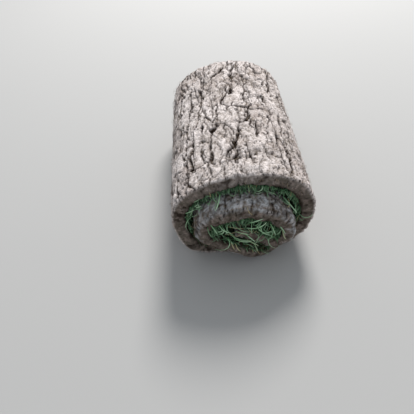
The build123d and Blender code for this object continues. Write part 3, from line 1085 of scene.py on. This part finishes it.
@dataclass
class SoilStrip:
    """A length of the strip's soil, with its cracked face, crumbling ends and grassy face.

    Sizes are in millimetres. The shoulder, the notch and the clod lie at an x and z, as seen
    from the near end, and a reach is how far off a mark fades, along s and then along v. The
    insets are from the near edge.
    """

    winding: Winding
    name: str
    first: float
    last: float
    row_mm: float
    face_steps: tuple[tuple[float, float], ...]
    closed_first: bool = True
    closed_last: bool = True
    # How damp the soil face is; the second wrap's darker tone from it is partly damp soil and partly
    # painted shade.
    damp_and_shade: float = 0.0
    face_edge: float = 6.5
    grass_edge: float = 5.0
    blunt_mm: float = 9.0
    blunt_share: float = 0.2
    edge_band: float = 70.0
    ragged_mm: float = 4.2
    near_shift: float = -1.0
    far_shift: float = 6.0
    shoulder_at: tuple[float, float] = (124.0, 176.0)
    shoulder_slump: float = 9.0
    notch_at: tuple[float, float] = (-6.0, 220.0)
    notch_depth: float = 7.0
    clod_at: tuple[float, float] = (24.0, 216.0)
    clod_height: float = 6.5
    clod_inset: float = 26.0
    clod_reach: tuple[float, float] = (21.0, 15.0)
    tear_depth: float = 3.4
    tear_inset: float = 62.0
    tear_slant: float = 0.2
    tear_before: float = 4.0
    tear_reach: tuple[float, float] = (44.0, 10.0)
    rise_before: float = 140.0
    rise_reach: float = 110.0
    flank_reach: float = 70.0
    crust_rise: float = 0.6
    broad_height: float = 1.9
    plate_height: float = 1.3
    chip_height: float = 0.7
    grain_height: float = 0.9
    main_depth: float = 8.0
    wide_depth: float = 4.6
    fine_depth: float = 1.9
    small_depth: float = 1.4
    pit_depth: float = 3.2
    crust: Crazing = Crazing(25.0, 66.0, 2.8, 0.82, 10.0, 12)
    crazing: Crazing = Crazing(13.0, 26.0, 1.9, 0.6, 6.0, 47)
    chips: Crazing = Crazing(6.5, 10.0, 1.2, 0.5, 4.0, 53)
    bark: Crazing = Crazing(18.0, 105.0, 3.0, 0.85, 5.0, 83)

    def section(self) -> tuple[Array, Array, Array, Array]:
        """Draws the strip's section as one closed line of points.

        It goes across the soil face at the given steps, round a corner of face_edge, down the
        end, round a corner of grass_edge, and back along the other side. Each corner is a
        quarter of a circle.

        Returns:
            Arrays v and w of the points, and of the outward direction at each.
        """
        half, deep = self.winding.strip_width / 2, self.winding.soil_depth
        edge = self.face_edge
        steps = [np.array([edge - half])]
        for until, step in self.face_steps:
            start, finish = steps[-1][-1], min(until, half - edge)
            if finish > start:
                count = max(2, round((finish - start) / step) + 1)
                steps.append(np.linspace(start, finish, count)[1:])
        face_v = np.concatenate(steps)
        turn = np.radians(np.arange(15, 90, 15.0))
        sine, cosine = np.sin(turn), np.cos(turn)
        parts = [(face_v, 0 * face_v, 0 * face_v, 0 * face_v - 1)]
        parts.append((half - edge + edge * sine, edge - edge * cosine, sine, -cosine))
        down = np.linspace(edge, deep - self.grass_edge, 8)
        parts.append((0 * down + half, down, 0 * down + 1, 0 * down))
        edge = self.grass_edge
        parts.append((half - edge + edge * cosine, deep - edge + edge * sine, cosine, sine))
        back = np.linspace(half - edge, 0, 12)[:-1]
        parts.append((back, 0 * back + deep, 0 * back, 0 * back + 1))
        middle = tuple(np.array([number]) for number in (0.0, deep, 0.0, 1.0))
        mirror = (-1, 1, -1, 1)
        other = [tuple(a[::-1] * flip for a, flip in zip(part, mirror)) for part in parts[:0:-1]]
        v, w, out_v, out_w = (np.concatenate(column) for column in zip(*parts, middle, *other))
        return v, w, out_v, out_w

    def edge_shift(self, s: Array, side: float) -> Array:
        """How far the cut edge wanders, in and out, along the strip.

        Args:
            s: Distances from the tail, in millimetres.
            side: -1 at the near end, 1 at the far end.

        Returns:
            The shift of the edge in v. At the near end the right shoulder has slumped back,
            and a narrow notch is torn out of the top.
        """
        nothing = 0 * s
        shift = self.ragged_mm * swell(s, nothing + 500 * side, nothing, 55.0, 5, 71)
        if side > 0:
            return shift + self.far_shift
        shoulder = s - self.winding.spot_of(*self.shoulder_at, "top", "right")
        notch = s - self.winding.spot_of(*self.notch_at, "rise", "right")
        shift = shift + self.near_shift + self.shoulder_slump * mound(shoulder, 50.0)
        return shift + self.notch_depth * mound(notch, 3.0)

    def features(self, s: Array, v: Array, w: Array) -> Features:
        """Finds the cracks, pits and marks of the soil face.

        The flanks have long cracks too, most of all on the rise, 30 to 250 mm before the top.
        Worn patches have wider cracks and fewer fine ones, and where the soil is damp there
        are hardly any. By the near edge a clod stands up, with a torn band slanting behind it.

        Args:
            s, v, w: Places on the flat strip.

        Returns:
            The features.
        """
        nothing, marks = 0 * s, self.winding.marks
        main = MainCracks(marks["step"], self.winding.strip_width).at(s, v) * (s < marks["foot"])
        wide, plate = self.crust.at(s, v)
        fine, chip = self.crazing.at(s, v)
        small, _ = self.chips.at(s, v)
        long, _ = self.bark.at(s, v)
        past_top = s - marks["top"]
        rise = np.clip(1 - np.abs(past_top + self.rise_before) / self.rise_reach, 0, 1)
        flank = np.clip(np.abs(past_top) / self.flank_reach - 0.9, 0.35, 1)
        long = np.clip(long * flank * (1 + rise), 0, 1)
        worn = np.clip(0.8 + 0.9 * swell(s, v, nothing, 80.0, 2, 23), 0.1, 1.25) + 0.4 * rise
        parched = 1 - 0.9 * self.damp_and_shade
        rough = np.clip(0.6 + swell(s, v, nothing, 45.0, 2, 61), 0.15, 1.4)
        from_clod = s - self.winding.spot_of(*self.clod_at, "top", "right")
        from_edge = v + self.winding.strip_width / 2
        slant = from_edge - self.tear_inset - self.tear_slant * from_clod
        clod = mound(from_clod, self.clod_reach[0]) * mound(from_edge - self.clod_inset, self.clod_reach[1])
        tear = mound(from_clod + self.tear_before, self.tear_reach[0]) * mound(slant, self.tear_reach[1])
        return Features(
            main=main,
            wide=np.maximum(wide * worn, long) * parched,
            fine=fine * np.clip(1.5 - 0.7 * worn, 0.3, 1.2) * parched,
            small=small,
            pits=np.clip((swell(s, v, w, 11.0, 3, 5) - 0.3) * 2.2, 0, 1) * rough,
            clod=clod,
            tear=np.clip(1.6 * tear, 0, 1),
            plate=plate,
            chip=chip,
            grain=rough * swell(s, v, nothing, 9.0, 3, 7),
            frayed=swell(s, v, nothing, 7.0, 3, 67),
        )

    def height(self, s: Array, v: Array, w: Array, face: Array, found: Features) -> Array:
        """Works out how far each point stands out.

        On the soil face that is the crust's rise, broad swells, each plate's and chip's own
        height, the grain and the clod, less the cracks, pits and tear, each to its depth. The
        cut ends have rounder lumps. The two are mixed by how much the point faces that way.

        Args:
            s, v, w: Places on the flat strip.
            face: 1 on the soil face, 0 elsewhere.
            found: The features of the soil face.

        Returns:
            The height in millimetres.
        """
        crust = self.broad_height * swell(s, v, 0 * s, 70.0, 3, 3) + self.crust_rise
        crust += self.plate_height * found.plate + self.chip_height * found.chip
        crust += self.grain_height * found.grain + self.clod_height * found.clod
        crust -= self.main_depth * found.main**0.7 + self.wide_depth * found.wide**0.8
        crust -= self.fine_depth * np.clip(found.fine, 0, 1) ** 0.8 + self.small_depth * found.small
        crust -= self.pit_depth * found.pits + self.tear_depth * found.tear * (1 + found.frayed)
        lumps = 2.4 * swell(s, v * 0.6, w, 28.0, 3, 91) + 1.3 * swell(s, v, w, 9.0, 2, 92) - 0.6
        return face * crust + (1 - face) * lumps

    def values(self, s: Array, v: Array, w: Array, face: Array, found: Features) -> dict[str, Array]:
        """Works out the numbers that the soil's material reads.

        A crack gets painted shade by how open it is, and so do the pits; the tear is dark where it
        frays. On the cut ends the hollows between lumps get painted shade, and torn streaks and the
        humus under the grass are dark. The ends are damp, less so at the near end of the top, which
        is painted lighter to stand for light from the sky above. The tone is each plate's own, with
        broad swells.

        Args:
            s, v, w: Places on the flat strip.
            face: 1 on the soil face, 0 elsewhere.
            found: The features of the soil face.

        Returns:
            The values crack, tone and damp, from 0 to 1.
        """
        # Painted shade in the cracks and pits, by how open and deep they are; the frayed tear is dark too.
        crack = 2.6 * found.main + 2.8 * found.wide + 0.5 * found.fine + 0.2 * found.small
        crack = np.clip(crack + 0.6 * found.pits, 0, 1)
        crack = np.clip(crack + found.tear * np.clip(0.4 + 1.2 * found.frayed, 0, 0.85), 0, 1)
        # Painted shade in the hollows between the cut ends' lumps: dark where the lumps' finer swell is
        # low.
        hollow = np.clip(-1.4 * swell(s, v, w, 9.0, 2, 92) - 0.25, 0, 1)
        torn = np.clip(1.6 * swell(s, v * 0.5, w, 15.0, 3, 97) - 0.25, 0, 1)
        depth = w / self.winding.soil_depth + 0.1 * swell(s, v, w, 12.0, 2, 98)
        humus = 0.6 * np.clip(depth, 0, 1) ** 4
        crack = face * crack + (1 - face) * np.clip(0.8 * hollow + 0.6 * torn + humus, 0, 0.9)
        # Painted light: the near end of the top is made less damp and so lighter, standing in for light
        # from the sky above.
        painted_top_light = 0.3 * mound(s - self.winding.marks["top"] + 10.0, 95.0) * (v < 0)
        damp = (1 - face) * (1 - 0.5 * self.damp_and_shade - painted_top_light) + 0.02 + self.damp_and_shade
        damp += 0.2 * swell(s, v, w, 30.0, 3, 29) + 0.8 * self.damp_and_shade * swell(s, v, w, 6.0, 2, 31)
        tone = 0.5 + 0.3 * found.plate + 0.2 * found.chip + 0.25 * swell(s, v, 0 * s, 60.0, 2, 37)
        return {"crack": crack, "tone": np.clip(tone, 0, 1), "damp": np.clip(damp, 0, 1)}

    def build(self) -> bpy.types.Object:
        """Carries the section along the winding and closes both ends.

        The surface is a function of s and of the place on the section: the flat point is moved
        outwards by its height, the cut edges wander, and the winding rolls the result up. Over
        the last blunt_mm the section thins by a quarter circle to its blunt share.

        Returns:
            The object.
        """
        v, w, out_v, out_w = self.section()
        girth = np.cumsum(np.hypot(np.diff(v, prepend=v[0]), np.diff(w, prepend=w[0])))
        rows = np.linspace(self.first, self.last, round((self.last - self.first) / self.row_mm))
        s, v = np.meshgrid(rows, v, indexing="ij")
        w, out_v, out_w, girth = (np.broadcast_to(a, s.shape) for a in (w, out_v, out_w, girth))
        face = np.clip((-out_w - 0.15) / 0.6, 0, 1)
        found = self.features(s, v, w)
        height = self.height(s, v, w, face, found)
        half, middle, band = self.winding.strip_width / 2, self.winding.soil_depth / 2, self.edge_band
        flat_v = v
        for side in (-1.0, 1.0):
            share = np.clip((side * v - half + band) / band, 0, 1) ** 2
            flat_v = flat_v + share * self.edge_shift(rows, side)[:, None]
        away = np.full(s.shape, self.blunt_mm)
        if self.closed_first:
            away = np.minimum(away, s - self.first)
        if self.closed_last:
            away = np.minimum(away, self.last - s)
        thin = np.sqrt(np.clip(1 - (1 - away / self.blunt_mm) ** 2, 0, 1))
        thin = thin * (1 - self.blunt_share) + self.blunt_share
        flat_w = middle + (w + out_w * height - middle) * thin
        points = self.winding.place(s, flat_v + out_v * height, flat_w).reshape(-1, 3)
        values = self.values(s, v, w, face, found)
        uv = np.stack((s, girth), -1).reshape(-1, 2) * MM
        return lay_mesh(self.name, points, swept_faces(*s.shape), values, uv, lowest=0.2)


@dataclass
class RootHairs:
    """Thin roots that lie on the soil face and stick out of the cut ends."""

    winding: Winding
    on_face: int = 1500
    on_ends: int = 900
    second_every: int = 6
    thick_mm: float = 0.7
    droop: float = 0.03
    seed: int = 5

    def build(self) -> bpy.types.Object:
        """Draws each root as a thin wandering ribbon on the flat strip and rolls it up.

        A root's line is its start plus its direction times t, with two sine wobbles of random
        size. On the face it bows off the soil by 1 to 7 mm times sin(pi t), and at the ends
        it points outwards and droops by the square of its length so far. One root of the face
        in six is on the second wrap, near the edge that shows.

        Returns:
            The object.
        """
        way, chance = self.winding, np.random.default_rng(self.seed)
        half, deep, marks = way.strip_width / 2, way.soil_depth, way.marks
        count = self.on_face + self.on_ends
        t = np.linspace(0, 1, 7)
        lying = np.arange(count) < self.on_face
        side = np.where(chance.random(count) < 0.5, -1.0, 1.0)
        on_second = lying & (np.arange(count) % self.second_every == 0)
        face_s = chance.uniform(60, marks["foot"] - 40, count)
        root_s = np.where(lying, face_s, chance.uniform(10, marks["end"] - 10, count))
        root_s = np.where(on_second, chance.uniform(marks["step"], marks["fold"], count), root_s)
        root_v = np.where(lying, chance.uniform(8 - half, half - 8, count), side * (half - 1.0))
        root_v = np.where(on_second, -half + chance.uniform(0, 40, count), root_v)
        root_w = np.where(lying, 0.5, chance.uniform(6, deep - 2, count))
        length = np.where(lying, chance.uniform(10, 34, count), chance.uniform(3, 10, count))
        anyway = chance.uniform(0, 2 * np.pi, count)
        aim = np.where(lying, anyway, side * np.pi / 2 + chance.normal(0, 0.7, count))
        wobble = chance.normal(0, 0.16, (count, 1)) * np.sin(np.pi * t)
        wobble = wobble + chance.normal(0, 0.07, (count, 1)) * np.sin(2.3 * np.pi * t)
        ahead = length[:, None] * t
        s, v = steer(root_s, root_v, aim, ahead, length[:, None] * wobble)
        v = np.where(lying[:, None], np.clip(v, 3 - half, half - 3), v)
        lift = (1.0 + 6.0 * chance.random((count, 1)) ** 3) * np.sin(np.pi * t)
        w = root_w[:, None] - np.where(lying[:, None], lift, 0)
        s = np.clip(s, 1.0, marks["end"] - 1)
        middle = way.place(s, v, w)
        middle[..., 2] -= np.where(lying[:, None], 0, self.droop * ahead**2)
        wide = np.broadcast_to(self.thick_mm / 2 * (1.1 - 0.8 * t), (count, len(t)))
        values = {"tone": chance.random(count)}
        return leaf_sheet("root_hairs", middle, way.facing(s, v, w), 0 * length, wide, 0.8, values)


@dataclass
class Crumbs:
    """Loose crumbs of soil that cling to the face."""

    winding: Winding
    count: int = 1300
    smallest: float = 1.6
    largest: float = 4.2
    seed: int = 9

    def build(self) -> bpy.types.Object:
        """Scatters squashed and dented twenty-sided lumps.

        A crumb is the unit icosahedron, each corner pushed in or out at random, turned at
        random, scaled by r (with r = smallest + (largest - smallest) u^3) and moved to its
        place on the strip.

        Returns:
            The object.
        """
        way, chance, count = self.winding, np.random.default_rng(self.seed), self.count
        golden = (1 + math.sqrt(5)) / 2
        ring = ((-1, golden), (1, golden), (-1, -golden), (1, -golden))
        corners = [(a, b, 0) for a, b in ring] + [(0, a, b) for a, b in ring] + [(b, 0, a) for a, b in ring]
        corners = np.array(corners) / math.sqrt(1 + golden**2)
        sides = np.array(
            [(0, 11, 5), (0, 5, 1), (0, 1, 7), (0, 7, 10), (0, 10, 11), (1, 5, 9), (5, 11, 4), (11, 10, 2)]
            + [(10, 7, 6), (7, 1, 8), (3, 9, 4), (3, 4, 2), (3, 2, 6), (3, 6, 8), (3, 8, 9), (4, 9, 5)]
            + [(2, 4, 11), (6, 2, 10), (8, 6, 7), (9, 8, 1)]
        )
        size = self.smallest + (self.largest - self.smallest) * chance.random(count) ** 3
        s = chance.uniform(way.marks["left"] + 90, way.marks["right"] + 120, count)
        v = way.strip_width / 2 * (2 * chance.beta(0.8, 0.8, count) - 1) * 0.97
        spots = way.place(s, v, 0 * s + 0.2)
        turn = np.linalg.qr(chance.normal(size=(count, 3, 3)))[0]
        turn[:, 0] *= np.linalg.det(turn)[:, None]
        lumps = corners[None] * chance.uniform(0.7, 1.25, (count, len(corners), 1))
        lumps = lumps * chance.uniform(0.6, 1.1, (count, 1, 3))
        lumps = np.einsum("nij,nkj->nki", turn, lumps) * size[:, None, None] / 2
        points = (lumps + spots[:, None]).reshape(-1, 3)
        faces = (sides[None] + np.arange(count)[:, None, None] * len(corners)).reshape(-1, 3).tolist()
        tone = np.repeat(chance.uniform(0.0, 0.7, count), len(corners))
        damp = np.repeat(chance.random(count) ** 3 * 0.7, len(corners))
        values = {"tone": tone, "crack": 0 * tone, "damp": damp}
        return lay_mesh("crumbs", points, faces, values, points[:, :2] * MM)


# Pieces of grass


@dataclass
class ThatchLayer:
    """The felt of stems that fills the space over the grassy face, set back from the ends."""

    winding: Winding
    set_back: float = 17.0
    row_mm: float = 5.0
    across_mm: float = 6.0
    ragged_mm: float = 5.0
    hollow_mm: float = 2.5

    def build(self) -> bpy.types.Object:
        """Carries a flat closed section along the winding, as deep as the room is there.

        It is sunk 1 mm into the soil. Its open face is w = depth of soil + room, less a
        little for random hollows, and its ends are random by a few millimetres.

        Returns:
            The object.
        """
        way = self.winding
        rows = np.arange(4.0, way.marks["end"] - 2, self.row_mm)
        room = np.convolve(np.pad(way.room(rows), 3, "edge"), np.ones(7) / 7, "valid")
        half = way.strip_width / 2 - self.set_back
        over = np.linspace(-half, half, round(2 * half / self.across_mm))
        levels = np.linspace(0.0, 1.0, 5)[1:-1]
        v = np.concatenate((over, 0 * levels + half, over[::-1], 0 * levels - half))
        share = np.concatenate((0 * over, levels, 0 * over + 1, levels[::-1]))
        s, v = np.meshgrid(rows, v, indexing="ij")
        share = np.broadcast_to(share, s.shape)
        ragged = self.ragged_mm * swell(s, v, share * 20, 12.0, 2, 131)
        ragged = ragged * np.sign(v) * (np.abs(v) > half - 20)
        hollows = np.minimum(self.hollow_mm * swell(s, v, share, 14.0, 2, 133), 0) * (share > 0.9)
        depth = (room[:, None] - 1.0) * share + hollows
        points = way.place(s, v + ragged, way.soil_depth - 1.0 + depth).reshape(-1, 3)
        faces = [face[::-1] for face in swept_faces(*s.shape)]
        return lay_mesh("thatch", points, faces, {}, lowest=0.5)


class Sward(Enum):
    """Where a bunch of blades grows, and how.

    Each value is the piece's name, its end of the roll, its first and last marks, how many
    blades, their shortest and longest in mm, the band they grow in, and the share that is loose
    and lies any way.
    """

    NEAR_GAP = ("near_gap_blades", -1.0, "tail", "foot", 1100, 7.0, 20.0, 18.0, 0.06)
    NEAR_HEART = ("near_heart_blades", -1.0, "foot", "end", 800, 8.0, 24.0, 22.0, 0.25)
    FAR_GAP = ("far_gap_blades", 1.0, "tail", "foot", 2000, 8.0, 26.0, 16.0, 0.1)
    FAR_HEART = ("far_heart_blades", 1.0, "foot", "end", 2400, 14.0, 45.0, 22.0, 0.4)


@dataclass
class BladeBunch:
    """Blades of grass along one end of the strip, each a folded leaf that droops to its tip."""

    winding: Winding
    sward: Sward
    seed: int
    leaf_mm: float = 2.0
    dead_share: float = 0.05
    overhang: float = 12.0
    further: float = 6.0
    droop: float = 0.012

    def build(self) -> bpy.types.Object:
        """Grows the blades on the flat strip and rolls them up with it.

        A blade's middle line is s + L c t cos(a), v + L c t sin(a) and w rising as
        R (1 - (1 - t)^2), for t from 0 at the root to 1 at the tip, with a sideways curl of
        t^2. R is at most the room between the wraps. Past the overhang it reaches little
        further, and it droops by the square of how far it stands out. Its midrib lies lower
        than its edges, as in a folded leaf.

        Returns:
            The object.
        """
        title, side, first, last, count, shortest, longest, band, loose_share = self.sward.value
        way, chance = self.winding, np.random.default_rng(self.seed)
        half, marks = way.strip_width / 2, way.marks
        root_s = chance.uniform(marks[first] + 6, marks[last] - 3, count)
        root_v = side * (half - 2 - band * chance.random(count) ** 1.3)
        loose = chance.random(count) < loose_share
        length = chance.uniform(shortest, longest, count) * np.where(loose, 1.25, 0.8)
        loose_aim = chance.normal(0, 1.25, count)
        aim = side * (math.pi / 2) + np.where(loose, loose_aim, chance.normal(0, 0.7, count))
        rise = np.minimum(way.room_at(root_s) - 1.5, length * 0.9) * chance.uniform(0.2, 1.0, count)
        curl = chance.normal(0, 0.3, count) * length
        t = np.linspace(0, 1, 6)
        run = np.sqrt(np.maximum(length**2 - rise**2, 9.0))
        s, v = steer(root_s, root_v, aim, run[:, None] * t, curl[:, None] * t**2)
        s = np.clip(s, 1.0, marks["end"] - 1)
        limit = half + self.overhang
        past = self.further * np.tanh((side * v - limit) / self.overhang)
        v = side * np.minimum(side * v, limit + past)
        w = way.soil_depth - 0.5 + rise[:, None] * (1 - (1 - t) ** 2)
        middle = way.place(s, v, w)
        middle[..., 2] -= self.droop * np.clip(side * v - half, 0, None) ** 2
        width = self.leaf_mm * chance.uniform(0.6, 1.2, count)
        tone = np.clip(0.75 * chance.beta(1.3, 2.6, count) + 0.4 * loose * chance.random(count), 0, 1)
        dead = (chance.random(count) < self.dead_share) * chance.uniform(0.5, 1, count)
        tilt = chance.normal(0, 0.7, count)
        wide = taper(width, t, 3, 0.6, 0.6) + 0.12
        values = {"tone": tone, "dead": dead}
        return leaf_sheet(title, middle, way.facing(s, v, w), tilt, wide, 0.45, values)


@dataclass
class LooseBlades:
    """Longer blades that sprang out when the strip was cut and lie over the roll's ends."""

    winding: Winding
    name: str
    side: float
    in_heart: int
    in_gap: int
    seed: int
    leaf_mm: float = 2.3
    dead_share: float = 0.1
    heart_middle: tuple[float, float] = (4.0, 100.0)
    droop: float = 0.004

    def build(self) -> bpy.types.Object:
        """Lays curved blades nearly flat on the ends.

        A blade starts at a random place of the grass that shows at the end. In the plane of
        the end it runs at an angle a, bending by a random curve: x + L t cos(a + k t),
        z + L t sin(a + k t). Along the roll it bows outwards by h sin(pi t). In the heart it
        lies inwards, and in the gap it leans outwards, over the second wrap.

        Returns:
            The object.
        """
        way, chance = self.winding, np.random.default_rng(self.seed)
        half, marks = way.strip_width / 2, way.marks
        count = self.in_heart + self.in_gap
        heart = np.arange(count) < self.in_heart

        def either(in_heart: Array, in_gap: Array) -> Array:
            """One number for each blade: the first where it is in the heart, else the second."""
            return np.where(heart, in_heart, in_gap)

        s = either(chance.uniform(marks["step"], marks["tongue"], count), chance.uniform(150, 720, count))
        w = way.soil_depth + way.room_at(s) * chance.uniform(0.1, 0.9, count)
        root = way.place(s, self.side * (half - chance.uniform(1, 9, count)), w)
        length = either(chance.uniform(16, 46, count), chance.uniform(12, 38, count))[:, None]
        middle_x, middle_z = self.heart_middle
        inward = np.arctan2(middle_z - root[:, 2], middle_x - root[:, 0])
        angle = inward + either(chance.normal(0, 0.85, count), chance.normal(math.pi / 2, 0.9, count))
        t = np.linspace(0, 1, 7)
        turned = angle[:, None] + chance.normal(0, 0.8, (count, 1)) * t
        lean = either(chance.uniform(0.02, 0.3, count), chance.uniform(0.35, 1.0, count))[:, None]
        flat = length * t * np.cos(lean)
        x = root[:, 0, None] + flat * np.cos(turned)
        z = root[:, 2, None] + flat * np.sin(turned) - (length * t) ** 2 * self.droop
        out = length * t * np.sin(lean) + chance.uniform(3, 9, (count, 1)) * np.sin(np.pi * t)
        out = np.minimum(out, 14 + 8 * np.tanh((out - 14) / 16))
        middle = np.stack((x, root[:, 1, None] + self.side * out, z), -1)
        wide = taper(self.leaf_mm * chance.uniform(0.55, 1.2, count), t, 3, 0.55, 0.6) + 0.12
        tilt = chance.normal(0, 0.6, count)
        tone = (0.15 + 0.95 * chance.random(count) ** 0.8).clip(0, 1)
        dead = (chance.random(count) < self.dead_share) * chance.uniform(0.5, 1, count)
        facing = np.array((0.0, self.side, 0.0))
        return leaf_sheet(self.name, middle, facing, tilt, wide, 0.4, {"tone": tone, "dead": dead})


@dataclass
class LaidBlades:
    """The blades that show most at the near end, each where the real one lies."""

    studio: Studio
    name: str = "laid_blades"
    slimmed: float = 0.78
    bow_mm: float = 3.0
    seed: int = 77

    def build(self) -> bpy.types.Object:
        """Bows each blade between its two ends.

        A blade is its start plus its run times t, moved sideways in the plane of the end by
        bow times length times t (1 - t), and outwards along the roll by bow_mm sin(pi t). Its
        ends are where the photograph's pixels show them.

        Returns:
            The object.
        """
        chance = np.random.default_rng(self.seed)
        columns = np.array(LAID_BLADES).T
        root_across, root_down, tip_across, tip_down, root_y, tip_y, bow, width, pale, dead = columns
        start = self.studio.spots(root_across, root_down, root_y)
        run = self.studio.spots(tip_across, tip_down, tip_y) - start
        t = np.linspace(0, 1, 8)
        length = np.linalg.norm(run, axis=1)
        aside = np.stack((-run[:, 2], 0 * length, run[:, 0]), 1) / length[:, None]
        middle = start[:, None] + run[:, None] * t[None, :, None]
        middle += aside[:, None] * (bow * length)[:, None, None] * (t * (1 - t))[None, :, None]
        middle[..., 1] -= self.bow_mm * np.sin(np.pi * t)
        facing, tilt = np.array((0.0, -1.0, 0.3)), chance.normal(0, 0.35, len(length))
        wide = self.slimmed * taper(width, t, 4, 0.6, 0.35) + 0.1
        # The tone is each blade's paleness, partly its own and partly painted sunlight.
        return leaf_sheet(self.name, middle, facing, tilt, wide, 0.35, {"tone": pale, "dead": dead})


def main() -> None:
    """Builds the roll from its frame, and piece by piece."""
    logging.basicConfig(level=logging.INFO, format="%(name)s %(message)s")
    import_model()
    studio, winding = Studio(), Winding()
    studio.camera()
    finishes = (DrySoil(), GrassBlade(), Thatch(), RootFibre())
    soil, grass, felt, root = (finish.material() for finish in finishes)
    # The second wrap's soil has cool grey-blue dry and bleached colours: painted shade lit by the sky.
    shaded = DrySoil(name="soil bound by roots in painted cool shade", dry="#A2A4A6", bleached="#ECEDF0").material()
    foot, end = winding.marks["foot"], winding.marks["end"]
    # Across the soil face, each step holds until a v. The second wrap's middle is hidden.
    all_shown, ends_shown = ((1e3, 2.2),), ((-155.0, 2.4), (150.0, 14.0), (1e3, 3.0))
    outer = SoilStrip(winding, "outer_wrap", 0.0, foot + 3, 2.5, all_shown, closed_last=False)
    second = SoilStrip(winding, "second_wrap", foot, end, 3.0, ends_shown, closed_first=False)
    # The second wrap's darker damp tone is partly damp soil and partly painted shade.
    second.damp_and_shade, second.face_edge = 0.58, 14.0
    soil_pieces = ((outer, soil), (second, shaded), (RootHairs(winding), root), (Crumbs(winding), soil))
    for piece, finish in soil_pieces:
        seat(piece.build(), finish, "soil_mat")
    seat(ThatchLayer(winding).build(), felt, "grass")
    blades = [BladeBunch(winding, sward, 100 + number) for number, sward in enumerate(Sward)]
    blades.append(LaidBlades(studio))
    blades.append(LooseBlades(winding, "near_loose_blades", -1.0, 26, 40, 41))
    blades.append(LooseBlades(winding, "far_loose_blades", 1.0, 110, 60, 43))
    for piece in blades:
        seat(piece.build(), grass, "grass")
    studio.floor()
    studio.lights()
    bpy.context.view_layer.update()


if __name__ == "__main__":
    main()
